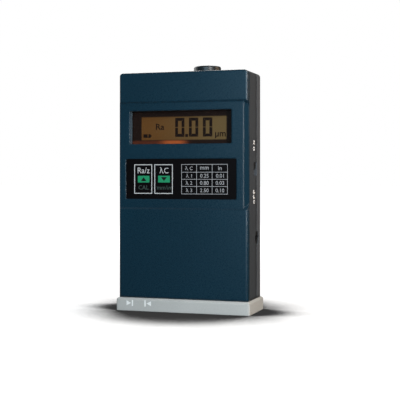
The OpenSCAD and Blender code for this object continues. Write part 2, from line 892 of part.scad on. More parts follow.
// The knob at the upper, switched-on end of its slot, with three grip ridges
module power_slider() {
    ridge = 0.4;
    ridges = 3;
    knob_w = switch_slot_w - 2 * part_gap;
    knob_x = half_w - 2 * ridge;
    ridge_pitch = knob_h / ridges;
    color(black) {
        block([in_x - knob_deep, knob_x], [switch_y - knob_w / 2, switch_y + knob_w / 2],
            [knob_z, knob_z + knob_h]);
        for (i = [0:ridges - 1])
            block([knob_x, knob_x + ridge], [switch_y - knob_w / 2, switch_y + knob_w / 2],
                [knob_z + (i + 0.25) * ridge_pitch, knob_z + (i + 0.75) * ridge_pitch]);
    }
}

module charging_jack() {
    color(black)
        difference() {
            union() {
                block([jack_back_x, in_x], [jack_y - jack_block / 2, jack_y + jack_block / 2],
                    [jack_z - jack_block / 2, jack_z + jack_block / 2]);
                bar_x(jack_nose_d / 2, [in_x, jack_x], jack_y, jack_z);
            }
            bar_x(jack_bore_d / 2, [jack_x - jack_bore_l, jack_x + through], jack_y, jack_z);
        }
}

function cell_x(i) = tray_x + (i - (cell_count - 1) / 2) * cell_pitch;

module battery_cells() {
    nub_r = 1.9;
    nub_h = 0.8;
    color([0.15, 0.3, 0.5])
        for (i = [0:cell_count - 1]) {
            bar_z(cell_d / 2, [cell_z, cell_z + cell_l - nub_h], cell_x(i), cell_y);
            bar_z(nub_r, [cell_z, cell_z + cell_l], cell_x(i), cell_y);
        }
}

module battery_contacts() {
    plate = cell_d * 0.7;
    color(steel)
        for (i = [0:cell_count - 1], z = [cell_z - contact_t, cell_z + cell_l])
            block([cell_x(i) - plate / 2, cell_x(i) + plate / 2], [cell_y - plate / 2, in_back_y - tray_floor],
                [z, z + contact_t]);
}

module battery_holder() {
    tray_y = [cell_y - 1, in_back_y];
    color(black)
        difference() {
            block([tray_x - tray_w / 2, tray_x + tray_w / 2], tray_y, [tray_z, tray_z + tray_l]);
            block([tray_x - tray_w / 2 + tray_wall, tray_x + tray_w / 2 - tray_wall],
                [tray_y[0] - through, in_back_y - tray_floor],
                [tray_z + tray_wall, tray_z + tray_l - tray_wall]);
        }
}

// A lug of the chassis, seen along the screw: it holds a bearing and both guide rods
module lug(x, z) {
    difference() {
        along_x([x, x + sheet_t])
            translate([0, (z[0] + z[1]) / 2])
                rotate(90)
                    one_side_rounded(z[1] - z[0], -plate_y - sheet_t / 2, -lug_end_y, sheet_t);
        bar_x(bearing_r + seat_gap, [x - through, x + sheet_t + through], screw_y, screw_z);
        for (y = [-rod_y, rod_y])
            bar_x(rod_r + seat_gap, [x - through, x + sheet_t + through], y, screw_z);
    }
}

module drive_chassis() {
    color(steel)
        difference() {
            union() {
                block(plate_x, [plate_y, plate_back_y], plate_z);
                lug(plate_x[0], left_lug_z);
                lug(right_lug_x, right_lug_z);
            }
            bar_x(motor_boss_r + seat_gap, [right_lug_x - through, plate_x[1] + through], screw_y, motor_z);
            for (y = [-motor_screw_y, motor_screw_y])
                bar_x(motor_screw_r + seat_gap, [right_lug_x - through, plate_x[1] + through], y, motor_z);
            for (x = chassis_screw_x, z = chassis_screw_z)
                bar_y(small_r + screw_hole_gap, [plate_y - through, plate_back_y + through], x, z);
        }
}

module chassis_screws() {
    color(steel)
        for (x = chassis_screw_x, z = chassis_screw_z) {
            bar_y(small_r, [plate_y, in_back_y], x, z);
            bar_y(screw_head_r, [plate_y - screw_head_h, plate_y], x, z);
        }
}

module drive_motor() {
    motor_x = right_lug_x - motor_l;
    color(steel)
        difference() {
            union() {
                bar_x(motor_d / 2, [motor_x, right_lug_x], screw_y, motor_z);
                bar_x(motor_boss_r, [right_lug_x, right_lug_x + 1], screw_y, motor_z);
                bar_x(motor_boss_r, [motor_x - 1, motor_x], screw_y, motor_z);
            }
            bar_x(shaft_d / 2 + run_gap, [right_lug_x - motor_l / 3, plate_x[1]], screw_y, motor_z);
            for (y = [-motor_screw_y, motor_screw_y])
                bar_x(motor_screw_r + seat_gap, [right_lug_x - 2, right_lug_x + through], y, motor_z);
        }
}

module motor_screws() {
    head_t = 0.2;
    color(steel)
        for (y = [-motor_screw_y, motor_screw_y]) {
            bar_x(motor_screw_r, [right_lug_x - 1.5, plate_x[1]], y, motor_z);
            bar_x(motor_screw_head_r, [plate_x[1], plate_x[1] + head_t], y, motor_z);
        }
}

module motor_shaft() {
    color(steel)
        bar_x(shaft_d / 2, [right_lug_x - motor_l / 3 + part_gap, gear_end_x], screw_y, motor_z);
}

// Involute gear outline: half the angle of a tooth at radius r, then the teeth one after another
function involute(base_r, r) = let (a = acos(min(1, base_r / r))) tan(a) * 180 / PI - a;

function half_tooth(pitch_r, base_r, teeth, r) =
    90 / teeth - mesh_gap / pitch_r * 180 / PI + involute(base_r, pitch_r) - involute(base_r, max(r, base_r));

module gear_outline(teeth) {
    flank_steps = 4;
    pressure_angle = 20;
    pitch_r = gear_module * teeth / 2;
    base_r = pitch_r * cos(pressure_angle);
    tip_r = pitch_r + 0.85 * gear_module;
    root_r = pitch_r - 1.25 * gear_module;
    low_r = max(base_r, root_r + 0.02);
    radii = concat([root_r], [for (i = [0:flank_steps]) low_r + (tip_r - low_r) * i / flank_steps]);
    flank = [for (r = radii) [r, half_tooth(pitch_r, base_r, teeth, r)]];
    tooth = concat([for (p = flank) [p[0], -p[1]]], [for (i = [len(flank) - 1:-1:0]) flank[i]]);
    polygon([for (t = [0:teeth - 1], p = tooth)
        p[0] * [cos(360 * t / teeth + p[1]), sin(360 * t / teeth + p[1])]]);
}

module motor_pinion() {
    color(brass)
        difference() {
            along_x([gear_x, gear_end_x])
                translate([screw_y, motor_z])
                    rotate(270)
                        gear_outline(pinion_teeth);
            bar_x(shaft_d / 2 + seat_gap, [gear_x - through, gear_end_x + through], screw_y, motor_z);
        }
}

module drive_gear() {
    color(brass)
        difference() {
            along_x([gear_x, gear_end_x])
                translate([screw_y, screw_z])
                    rotate(90 - 180 / gear_teeth)
                        gear_outline(gear_teeth);
            bar_x(journal_r + seat_gap, [gear_x - through, gear_end_x + through], screw_y, screw_z);
        }
}

module lead_screw() {
    play = 0.1;
    color(steel) {
        bar_x(screw_r, [left_lug_x + bearing_flange_t + play, right_lug_x - bearing_flange_t - play],
            screw_y, screw_z);
        bar_x(journal_r, [plate_x[0] + play, gear_end_x], screw_y, screw_z);
    }
}

module screw_bearings() {
    color(brass)
        difference() {
            union() {
                bar_x(bearing_r, [plate_x[0], left_lug_x], screw_y, screw_z);
                bar_x(bearing_flange_r, [left_lug_x, left_lug_x + bearing_flange_t], screw_y, screw_z);
                bar_x(bearing_r, [right_lug_x, plate_x[1]], screw_y, screw_z);
                bar_x(bearing_flange_r, [right_lug_x - bearing_flange_t, right_lug_x], screw_y, screw_z);
            }
            bar_x(journal_r + run_gap, [plate_x[0] - through, plate_x[1] + through], screw_y, screw_z);
        }
}

module guide_rods() {
    color(steel)
        for (y = [-rod_y, rod_y])
            bar_x(rod_r, plate_x, y, screw_z);
}

// The carriage: a saddle on both rods, with a nut on the screw and the pickup under it
module carriage() {
    neck_y = rod_y - rod_r - 1;
    color(black)
        difference() {
            along_x([carriage_x, carriage_end])
                difference() {
                    translate([0, (pickup_top + carriage_top) / 2])
                        rounded_rect(2 * carriage_y, carriage_top - pickup_top, 1);
                    for (y = [-neck_y, neck_y])
                        translate([y - 0.3, pickup_top])
                            square([0.6, screw_z - pickup_top - rod_r]);
                }
            bar_x(screw_r + run_gap, [carriage_x - through, carriage_end + through], screw_y, screw_z);
            for (y = [-rod_y, rod_y])
                bar_x(rod_r + run_gap, [carriage_x - through, carriage_end + through], y, screw_z);
        }
}

// A limit switch at each end of the stroke, its pin just clear of the carriage
module limit_switches() {
    pin_y = (limit_y[0] + limit_y[1]) / 2;
    pin_z = (limit_z[0] + limit_z[1]) / 2;
    color(black) {
        block([left_lug_x, left_lug_x + limit_x], limit_y, limit_z);
        bar_x(limit_pin_r, [left_lug_x + limit_x, carriage_x - part_gap], pin_y, pin_z);
        block([right_lug_x - limit_x, right_lug_x], limit_y, limit_z);
        bar_x(limit_pin_r, [carriage_end + stroke + part_gap, right_lug_x - limit_x], pin_y, pin_z);
    }
}

module pickup_body() {
    color(steel)
        difference() {
            along_x([nose_x, pickup_x])
                translate([0, pickup_mid_z])
                    rounded_rect(pickup_w, pickup_h, pickup_wall);
            difference() {
                block([nose_x - through, pickup_x - pickup_end], [-pickup_in_y, pickup_in_y],
                    [pickup_z + pickup_wall, pickup_top - pickup_wall]);
                block([pickup_x - pickup_end - piezo_seat, pickup_x], [-pickup_in_y, pickup_in_y],
                    [pickup_z, pickup_mid_z - piezo_t / 2]);
            }
            bar_y(pivot_d / 2 + seat_gap, [-pickup_w, pickup_w], pivot_x, pickup_mid_z);
        }
}

module piezo_element() {
    color([0.8, 0.75, 0.6])
        block([piezo_x, pickup_x - pickup_end], [-piezo_w / 2, piezo_w / 2],
            [pickup_mid_z - piezo_t / 2, pickup_mid_z + piezo_t / 2]);
}

module pivot_pin() {
    color(steel)
        bar_y(pivot_d / 2, [-pickup_w / 2, pickup_w / 2], pivot_x, pickup_mid_z);
}

// The skid: a plate on the nose with a window for the arm, and a round foot
module skid() {
    foot_r = skid_t / 2;
    skid_x = [nose_x - skid_t, nose_x];
    window_z0 = pickup_mid_z - skid_window / 2;
    color(steel)
        difference() {
            union() {
                block(skid_x, [-pickup_in_y, pickup_in_y], [pickup_z, pickup_top]);
                block(skid_x, [-skid_foot_w / 2, skid_foot_w / 2], [skid_lift + foot_r, pickup_top]);
                bar_y(foot_r, [-skid_foot_w / 2, skid_foot_w / 2], nose_x - foot_r, skid_lift + foot_r);
            }
            block([skid_x[0] - through, skid_x[1] + through], [-skid_window / 2, skid_window / 2],
                [window_z0, window_z0 + skid_window]);
        }
}

// The arm: a bar on its hub, with an upright stem that carries the point
module stylus_arm() {
    color(steel)
        difference() {
            union() {
                block([tip_x, arm_tail_x], [-arm_w / 2, arm_w / 2],
                    [pickup_mid_z - arm_h / 2, pickup_mid_z + arm_h / 2]);
                bar_y(arm_hub_r, [-arm_w / 2, arm_w / 2], pivot_x, pickup_mid_z);
                bar_z(stylus_d / 2, [stylus_lift + tip_h, pickup_mid_z + arm_h / 2], tip_x, 0);
            }
            bar_y(pivot_d / 2 + run_gap, [-arm_w, arm_w], pivot_x, pickup_mid_z);
        }
}

module stylus_tip() {
    point_r = 0.05;
    color([0.85, 0.9, 0.95])
        translate([tip_x, 0, stylus_lift])
            cylinder(r1 = point_r, r2 = stylus_d / 2, h = tip_h);
}

// The cross that a driver turns, cut into a screw head of radius r
module driver_cross(r) {
    arm = 2 * r * cross_share;
    square([arm, cross_w], center = true);
    square([cross_w, arm], center = true);
}

module case_screws() {
    head_end = case_head_y + case_head_h;
    color(steel)
        difference() {
            union() {
                case_screw_holes(case_screw_d / 2, [case_hole_y + screw_end_gap, case_head_y]);
                case_screw_holes(case_head_r, [case_head_y, head_end]);
            }
            for (x = [-1, 1], z = case_post_z)
                along_y([head_end - cross_deep, head_end + through])
                    translate([x * case_post_x, z])
                        driver_cross(case_head_r);
        }
}

module base_screws() {
    head_z = base_head_sunk + screw_head_h;
    color(steel)
        difference() {
            for (y = base_screw_y) {
                base_screw_holes(small_r, [head_z, floor_z + base_boss_h / 2], y);
                base_screw_holes(screw_head_r, [base_head_sunk, head_z], y);
            }
            for (x = [-1, 1], y = base_screw_y)
                translate([x * base_screw_x, y, base_head_sunk - through])
                    linear_extrude(cross_deep + through)
                        driver_cross(screw_head_r);
        }
}

front_cover();
middle_frame();
rear_cover();
base_foot();
display_window();
lcd_panel();
lcd_holder();
keypad_overlay();
key_plunger_left();
key_plunger_right();
key_switches();
main_board();
board_parts();
board_screws();
start_button();
button_bush();
start_spring();
start_switch();
power_switch();
power_slider();
charging_jack();
battery_cells();
battery_contacts();
battery_holder();
drive_chassis();
chassis_screws();
drive_motor();
motor_screws();
motor_shaft();
motor_pinion();
drive_gear();
lead_screw();
screw_bearings();
guide_rods();
carriage();
limit_switches();
pickup_body();
skid();
stylus_arm();
stylus_tip();
pivot_pin();
piezo_element();
case_screws();
base_screws();
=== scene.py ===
import math

import bmesh
import bpy
from mathutils import Matrix, Vector


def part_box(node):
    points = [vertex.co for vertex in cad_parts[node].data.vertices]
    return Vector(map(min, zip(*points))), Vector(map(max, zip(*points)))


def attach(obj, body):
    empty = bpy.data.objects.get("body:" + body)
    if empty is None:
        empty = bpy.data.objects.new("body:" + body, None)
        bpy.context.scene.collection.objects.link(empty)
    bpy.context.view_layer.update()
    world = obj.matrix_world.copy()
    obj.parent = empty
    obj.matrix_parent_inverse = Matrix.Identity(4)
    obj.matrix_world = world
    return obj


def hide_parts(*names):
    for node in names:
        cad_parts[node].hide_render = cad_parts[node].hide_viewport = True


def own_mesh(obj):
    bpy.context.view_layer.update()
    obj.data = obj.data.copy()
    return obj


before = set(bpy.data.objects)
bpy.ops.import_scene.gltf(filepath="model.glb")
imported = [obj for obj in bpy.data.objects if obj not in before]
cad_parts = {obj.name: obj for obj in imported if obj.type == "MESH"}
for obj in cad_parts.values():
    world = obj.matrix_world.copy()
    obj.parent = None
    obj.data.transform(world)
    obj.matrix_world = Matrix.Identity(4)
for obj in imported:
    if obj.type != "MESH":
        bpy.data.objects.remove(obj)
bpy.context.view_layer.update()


# Rear cover: a grey ABS shell with a fine spark-eroded skin, injection moulded.
# Four screws reach from its back through the frame into the front cover.
MM = 0.001
REAR_GREY = (80, 84, 89)
SPARK_GRAIN = 0.22 * MM
GRAIN_DEPTH = 0.006 * MM
FLOW_SIZE = 14 * MM
MOULD_EDGE = 0.25 * MM
GAP_SHADE = 0.25
GAP_NEAR = 0.2 * MM
GAP_FAR = 1.8 * MM


class Wire:
    """A shader socket for Python expressions: each operator adds its Math node."""

    def __init__(self, tree, node, out=0):
        self.tree = tree
        self.node = node
        self.socket = node.outputs[out]

    def make(self, kind, settings=(), sockets=(), out=0):
        """A new node: its settings first, then the values or links of its sockets."""
        node = self.tree.nodes.new(kind)
        for name, value in dict(settings).items():
            setattr(node, name, value)
        for name, value in dict(sockets).items():
            self.put(node.inputs[name], value)
        return Wire(self.tree, node, out)

    def put(self, socket, value):
        """Links a Wire to a socket, or sets the socket to a number or colour."""
        if isinstance(value, Wire):
            self.tree.links.new(value.socket, socket)
        elif socket.type == "RGBA":
            socket.default_value = (*value, 1)
        else:
            socket.default_value = value

    def math(self, operation, a, b=0.0):
        """A Math node on two values."""
        return self.make("ShaderNodeMath", {"operation": operation}, {0: a, 1: b})

    def __add__(self, other):
        return self.math("ADD", self, other)

    def __sub__(self, other):
        return self.math("SUBTRACT", self, other)

    def __rsub__(self, other):
        return self.math("SUBTRACT", other, self)

    def __mul__(self, other):
        return self.math("MULTIPLY", self, other)

    def __gt__(self, other):
        return self.math("GREATER_THAN", self, other)

    __radd__ = __add__
    __rmul__ = __mul__

    def colour(self, low, high):
        """This value as the mix of two colours."""
        return self.make("ShaderNodeMix", {"data_type": "RGBA"}, {0: self, 6: low, 7: high}, 2)

    def ramp(self, low, high):
        """This value taken from 0 at low to 1 at high, with soft ends."""
        settings = {"interpolation_type": "SMOOTHSTEP", "clamp": True}
        sockets = {"Value": self, "From Min": low, "From Max": high}
        return self.make("ShaderNodeMapRange", settings, sockets)

    def noise(self, size, detail=2.0):
        """Noise whose spots are about size metres wide, round this place."""
        sockets = {"Vector": self, "Scale": 0.5 / size, "Detail": detail}
        return self.make("ShaderNodeTexNoise", {}, sockets)

    def bump(self, height, depth, normal=None):
        """A normal that stands depth metres high where height is 1."""
        sockets = {"Height": height, "Distance": depth, "Strength": 1.0}
        if normal:
            sockets["Normal"] = normal
        return self.make("ShaderNodeBump", {}, sockets)

    def axis(self, name):
        """One coordinate of this place."""
        return self.make("ShaderNodeSeparateXYZ", {}, {"Vector": self}, name)

    def edges(self, radius):
        """The normal with sharp edges rounded off by radius, and a mask that is 1 along them."""
        soft = self.make("ShaderNodeBevel", {"samples": 6}, {"Radius": radius})
        plain = self.make("ShaderNodeNewGeometry", {}, {}, "Normal")
        settings = {"operation": "DOT_PRODUCT"}
        agree = self.make("ShaderNodeVectorMath", settings, {0: soft, 1: plain}, "Value")
        return soft, (1 - agree).ramp(0.01, 0.2)


def tone(rgb, gain=1.0):
    """A screen colour, 0 to 255, as light."""
    light = [(c / 255 / 12.92) if c < 11 else ((c / 255 + 0.055) / 1.055) ** 2.4 for c in rgb]
    return tuple(gain * c for c in light)


def finish(name, **constants):
    """A material with its shader's constants set, its shader, and the place on the piece as a Wire."""
    material = bpy.data.materials.new(name)
    material.use_nodes = True
    tree = material.node_tree
    shader = tree.nodes["Principled BSDF"]
    for label, value in constants.items():
        shader.inputs[label.replace("_", " ")].default_value = value
    place = Wire(tree, tree.nodes.new("ShaderNodeTexCoord"), "Object")
    return material, shader, place


def feed(shader, place, **links):
    """Varying values into the shader's sockets."""
    for label, value in links.items():
        place.put(shader.inputs[label.replace("_", " ")], value)


def moulded(name, rgb, rough, grain=SPARK_GRAIN, depth=GRAIN_DEPTH, gloss=0.35, painted_shade=None,
            edge=MOULD_EDGE):
    """Moulded plastic: a fine eroded grain, faint flow marks, edges polished by handling, and a painted
    highlight that makes the edges lighter.
    """
    material, shader, place = finish(name, Specular_IOR_Level=gloss)
    fine = place.noise(grain)
    flow = place.noise(FLOW_SIZE, 3.0)
    rounded, wear_and_sheen = place.edges(edge)
    # Painted highlight: the edge mask lightens the colour along edges, which it also makes smoother.
    shade = (0.5 * flow + 0.35 * fine + 0.25 * wear_and_sheen).ramp(0.2, 0.85)
    plastic = shade.colour(tone(rgb, 0.88), tone(rgb, 1.14))
    # Painted shade: where the mask is 1 the colour darkens, standing for shadow in a gap between parts.
    if painted_shade:
        plastic = painted_shade(place).colour(plastic, tone(rgb, GAP_SHADE))
    feed(shader, place, Base_Color=plastic, Roughness=rough + 0.12 * (fine - 0.5) - 0.1 * wear_and_sheen,
         Normal=place.bump(fine, depth, rounded))
    return material


def dress(material, *names):
    """Gives CAD nodes a finish."""
    for name in names:
        for material_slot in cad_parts[name].material_slots:
            material_slot.material = material


def painted_foot_shade(place):
    """1 in the painted shade along the top of the foot, where the case meets it."""
    foot_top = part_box("base_foot")[1].z
    return 1 - place.axis("Z").ramp(foot_top + GAP_NEAR, foot_top + GAP_FAR)


# Painted shade darkens the rear cover just above the foot.
dress(moulded("grey_shell", REAR_GREY, 0.5, painted_shade=painted_foot_shade), "rear_cover")


# Middle frame: the dark grey ABS ring between the covers, moulded with the same skin.
# It carries the button, the switch and the socket, and a groove runs along its rear seam.
FRAME_GREY = (58, 63, 68)
SEAM_SHADE_FAR = 3.4 * MM
SEAM_SHADE_NEAR = 1.6 * MM


# Painted shade: the frame darkens towards its rear seam and just above the foot.
def painted_frame_shade(place):
    """1 in the painted shade along the rear seam and above the foot."""
    seam_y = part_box("rear_cover")[0].y
    return painted_foot_shade(place) + place.axis("Y").ramp(seam_y - SEAM_SHADE_FAR, seam_y - SEAM_SHADE_NEAR)


dress(moulded("dark_grey_frame", FRAME_GREY, 0.5, painted_shade=painted_frame_shade), "middle_frame")


# Front cover: a blue ABS shell with a satin lacquer over the moulded skin.
# Its waist, window rim and film pocket are moulded in one with it.
COVER_BLUE = (6, 40, 55)
RIM_GREY = (78, 94, 104)
RIM_DEEP = 0.5 * MM
LACQUER_EDGE = 0.9 * MM
PEEL_SIZE = 0.9 * MM
PIGMENT_SIZE = 0.12 * MM
DRIFT_SIZE = 22 * MM


def window_rim(place):
    """1 on the walls round the window, behind the front face."""
    low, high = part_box("display_window")
    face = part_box("keypad_overlay")[0].y
    inside = place.axis("Y") > face + RIM_DEEP
    for name, a, b in (("X", low.x, high.x), ("Z", low.z, high.z)):
        across = place.axis(name)
        inside = inside * (across > a) * (1 - (across > b))
    return inside


def satin_lacquer(name, rgb):
    """Satin lacquer with a little orange peel and a clear top. The walls round the window are a lighter
    grey.
    """
    material, shader, place = finish(name, Specular_IOR_Level=0.4, Coat_Roughness=0.1)
    peel = place.noise(PEEL_SIZE, 1.0)
    pigment = place.noise(PIGMENT_SIZE)
    drift = place.noise(DRIFT_SIZE)
    rounded, edge = place.edges(LACQUER_EDGE)
    shade = (0.5 * pigment + 0.5 * drift).ramp(0.25, 0.75)
    lacquer = shade.colour(tone(rgb, 0.88), tone(rgb, 1.14))
    rim = shade.colour(tone(RIM_GREY, 0.9), tone(RIM_GREY, 1.1))
    feed(shader, place, Base_Color=window_rim(place).colour(lacquer, rim),
         Roughness=0.28 + 0.1 * (pigment - 0.5), Coat_Weight=0.3 + 0.1 * drift + 0.5 * edge,
         Normal=place.bump(0.7 * peel + 0.3 * pigment, GRAIN_DEPTH, rounded))
    return material


dress(satin_lacquer("blue_cover", COVER_BLUE), "front_cover")


# Display: a glass panel on a black holder with two rails, behind a clear acrylic window.
# Its polariser film gives the amber face, and the dark segments stand on it as thin marks.
AMBER_LEFT = (98, 62, 26)
AMBER_RIGHT = (99, 82, 51)
FACE_BROWN = (30, 16, 11)
GLOW_BROWN = (84, 40, 24)
GLOW_ORANGE = (170, 84, 40)
SEGMENT_INK = (24, 12, 7)
HOLDER_BLACK = (30, 31, 33)
HAZE_DARK = (44, 36, 30)
HAZE_PALE = (60, 52, 44)
DISPLAY_GLOSS = 0.1
FILM_T = 0.06 * MM
INK_T = 0.02 * MM
INK_GRAIN = 0.18 * MM
INK_DEPTH = 0.003 * MM
MOTTLE_SIZE = 2.5 * MM
HAZE_SIZE = 6 * MM
RIM_GAP = 0.2 * MM
LIT_LEFT = -23.0 * MM
LIT_RIGHT = 23.9 * MM
LIT_LOW = -6.5 * MM
LIT_HIGH = 5.6 * MM
LIT_FADE = 0.35 * MM
GLOW_RISE = (-7.6 * MM, -6.2 * MM)
GLOW_END = (-1 * MM, 6 * MM)
CORE_START = (-15 * MM, -7 * MM)
CORE_END = (-3 * MM, 4 * MM)
DIGIT_W = 5.1 * MM
DIGIT_H = 9.9 * MM
DIGIT_LEFTS = [-4.15 * MM, 3.45 * MM, 11.1 * MM]
DIGIT_LOW = -4.95 * MM
STROKE = 1.55 * MM
NICK = 0.04 * MM
MID_GAP = 0.16 * MM
POINT_X = 2.2 * MM
POINT_Z = -4.3 * MM
WORD_BOLD = 0.015
DISPLAY_WORDS = [("display_measure", "Ra", -12.6 * MM, 0.45 * MM, 3.2 * MM, 4.7 * MM),
                 ("display_unit", "µm", 20.6 * MM, -4.3 * MM, 3.1 * MM, 5.7 * MM)]
CELL_BARS = [(-22.0 * MM, -19.6 * MM, -5.25 * MM, -3.4 * MM),
             (-19.2 * MM, -17.9 * MM, -5.25 * MM, -3.4 * MM),
             (-17.9 * MM, -17.4 * MM, -4.7 * MM, -3.95 * MM)]
FRONT = Matrix.Rotation(math.radians(90), 4, "X")

window_low, window_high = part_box("display_window")
window_mid = (window_low + window_high) / 2
display_face = Vector((window_mid.x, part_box("lcd_panel")[0].y, window_mid.z))


def solid(name, outlines, depth, material):
    """A thin piece from outlines in X and Y, raised by depth."""
    mesh = bpy.data.meshes.new(name)
    work = bmesh.new()
    for outline in outlines:
        base = work.faces.new([work.verts.new((x, y, 0)) for x, y in outline])
        raised = bmesh.ops.extrude_face_region(work, geom=[base])["geom"]
        top = [v for v in raised if isinstance(v, bmesh.types.BMVert)]
        bmesh.ops.translate(work, verts=top, vec=(0, 0, depth))
    bmesh.ops.recalc_face_normals(work, faces=work.faces)
    work.to_mesh(mesh)
    work.free()
    mesh.materials.append(material)
    piece = bpy.data.objects.new(name, mesh)
    bpy.context.scene.collection.objects.link(piece)
    return piece


def set_on(piece, place, turn):
    """Turns a piece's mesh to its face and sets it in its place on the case."""
    piece.data.transform(Matrix.Translation(place) @ turn)
    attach(piece, "case")


def bar(x0, x1, y0, y1):
    """The outline of a bar between two sides and two ends."""
    return [(x0, y0), (x1, y0), (x1, y1), (x0, y1)]


def nought(left, low):
    """The six outer segments of a display digit, mitred where they meet."""
    mid_x = left + DIGIT_W / 2
    mid_y = low + DIGIT_H / 2
    out_x = DIGIT_W / 2
    out_y = DIGIT_H / 2
    in_x = out_x - STROKE
    in_y = out_y - STROKE
    segments = []
    for up in (-1, 1):
        level = [(-out_x + NICK, out_y), (out_x - NICK, out_y),
                 (in_x - NICK, in_y), (-in_x + NICK, in_y)]
        segments.append([(mid_x + x, mid_y + up * y) for x, y in level])
        upright = [(out_x, out_y - NICK), (in_x, in_y - NICK), (in_x, MID_GAP), (out_x, MID_GAP)]
        segments += [[(mid_x + side * x, mid_y + up * y) for x, y in upright] for side in (-1, 1)]
    return segments


def lettering(name, text, height, material, width=None, bold=0.0):
    """Printed letters about the origin: as tall as height, and squeezed to width where one is given."""
    curve = bpy.data.curves.new(name, "FONT")
    curve.body = text
    curve.resolution_u = 3
    curve.offset = bold
    curve.extrude = 0.01
    maker = bpy.data.objects.new(name + "_curve", curve)
    bpy.context.scene.collection.objects.link(maker)
    bpy.context.view_layer.update()
    shaped = maker.evaluated_get(bpy.context.evaluated_depsgraph_get())
    mesh = bpy.data.meshes.new_from_object(shaped)
    bpy.data.objects.remove(maker)
    spots = [v.co for v in mesh.vertices]
    low = Vector(min(s[i] for s in spots) for i in range(3))
    high = Vector(max(s[i] for s in spots) for i in range(3))
    size = high - low
    tall = height / size.y
    wide = width / size.x if width else tall
    mesh.transform(Matrix.Translation(-Vector(((low.x + high.x) / 2, (low.y + high.y) / 2, low.z))))
    mesh.transform(Matrix.Diagonal((wide, tall, INK_T / size.z, 1)))
    mesh.materials.clear()
    mesh.materials.append(material)
    piece = bpy.data.objects.new(name, mesh)
    bpy.context.scene.collection.objects.link(piece)
    return piece


def ink(name, rgb, rough=0.5, gloss=0.3):
    """Screen-printed ink: slightly uneven cover with a fine mesh mark."""
    material, shader, place = finish(name, Specular_IOR_Level=gloss)
    cover = place.noise(INK_GRAIN)
    feed(shader, place, Base_Color=cover.colour(tone(rgb, 0.86), tone(rgb, 1.08)),
         Roughness=rough + 0.1 * (cover - 0.5), Normal=place.bump(cover, INK_DEPTH))
    return material


def between(across, low, high):
    """1 between low and high, with faded ends."""
    return across.ramp(low - LIT_FADE, low + LIT_FADE) - across.ramp(high - LIT_FADE, high + LIT_FADE)


def amber_film():
    """The polariser: amber where the panel lights it, brown round that, a red glow along its foot."""
    material, shader, place = finish("amber_polariser", Specular_IOR_Level=DISPLAY_GLOSS)
    x = place.axis("X") - window_mid.x
    z = place.axis("Z") - window_mid.z
    lit = between(x, LIT_LEFT, LIT_RIGHT) * between(z, LIT_LOW, LIT_HIGH)
    mottle = place.noise(MOTTLE_SIZE, 3.0)
    # Painted light: the amber grows lighter and paler towards the right, with a little mottle.
    painted_light_and_mottle = 0.85 * x.ramp(LIT_LEFT, LIT_RIGHT) + 0.15 * mottle
    amber = painted_light_and_mottle.colour(tone(AMBER_LEFT), tone(AMBER_RIGHT))
    foot = 1 - z.ramp(*GLOW_RISE)
    wide_glow = foot * (1 - x.ramp(*GLOW_END))
    core_glow = foot * (x.ramp(*CORE_START) - x.ramp(*CORE_END))
    brown = wide_glow.colour(tone(FACE_BROWN), tone(GLOW_BROWN))
    feed(shader, place, Roughness=0.42 + 0.1 * mottle,
         Base_Color=lit.colour(core_glow.colour(brown, tone(GLOW_ORANGE)), amber))
    return material


def acrylic():
    """The window: clear acrylic with a faint polish haze, seen straight through."""
    material, shader, place = finish("clear_window", IOR=1.49, Specular_IOR_Level=0.3, Alpha=0.05)
    haze = place.noise(HAZE_SIZE, 3.0)
    feed(shader, place, Roughness=0.05 + 0.06 * haze,
         Base_Color=haze.colour(tone(HAZE_DARK), tone(HAZE_PALE)))
    return material


dress(acrylic(), "display_window")
dress(ink("glass_edge", FACE_BROWN, 0.3), "lcd_panel")
dress(moulded("black_holder", HOLDER_BLACK, 0.5), "lcd_holder")

half_w = (window_high.x - window_low.x) / 2 - RIM_GAP
half_h = (window_high.z - window_low.z) / 2 - RIM_GAP
polariser = solid("polariser", [bar(-half_w, half_w, -half_h, half_h)], FILM_T, amber_film())
set_on(polariser, display_face, FRONT)

segment_ink = ink("segment_ink", SEGMENT_INK, gloss=DISPLAY_GLOSS)
segment_face = display_face + Vector((0, -FILM_T, 0))
digits = [segment for left in DIGIT_LEFTS for segment in nought(left, DIGIT_LOW)]
set_on(solid("display_digits", digits, INK_T, segment_ink), segment_face, FRONT)
half_dot = STROKE / 2
dot = bar(POINT_X - half_dot, POINT_X + half_dot, POINT_Z - half_dot, POINT_Z + half_dot)
set_on(solid("display_point", [dot], INK_T, segment_ink), segment_face, FRONT)
for name, text, x, z, height, width in DISPLAY_WORDS:
    word = lettering(name, text, height, segment_ink, width, WORD_BOLD)
    set_on(word, segment_face + Vector((x, 0, z)), FRONT)
cell_mark = [bar(*sides) for sides in CELL_BARS]
set_on(solid("display_cell", cell_mark, INK_T, segment_ink), segment_face, FRONT)


# Keypad film: black polyester stuck in its pocket, screen printed.
# Two framed fields lie over the keys, and a table gives the cut-off lengths.
FILM_BLACK = (8, 5, 6)
MATT_GRAIN = 0.3 * MM
MATT_DEPTH = 0.002 * MM
PRINT_WHITE = (190, 190, 190)
TABLE_WHITE = (166, 166, 168)
PRINT_GREEN = (24, 138, 92)
PRINT_GREY = (60, 76, 70)
FRAME_LINE = 0.42 * MM
KEY_FRAMES = [(4.55 * MM, 14.6 * MM), (15.85 * MM, 26.05 * MM)]
FRAME_LOW = 2.7 * MM
FRAME_HIGH = 18.1 * MM
FIELD_W = 6.5 * MM
FIELD_SHIFT = 0.25 * MM
FIELD_LOW = 8.6 * MM
FIELD_HIGH = 12.1 * MM
ARROW_W = 3.2 * MM
ARROW_H = 2.1 * MM
KEY_WORDS = [("left", "Ra/z", 6.7 * MM, "CAL"), ("right", "λC", 4.9 * MM, "mm/in")]
LEGEND_Z = 14.95 * MM
LEGEND_H = 3.1 * MM
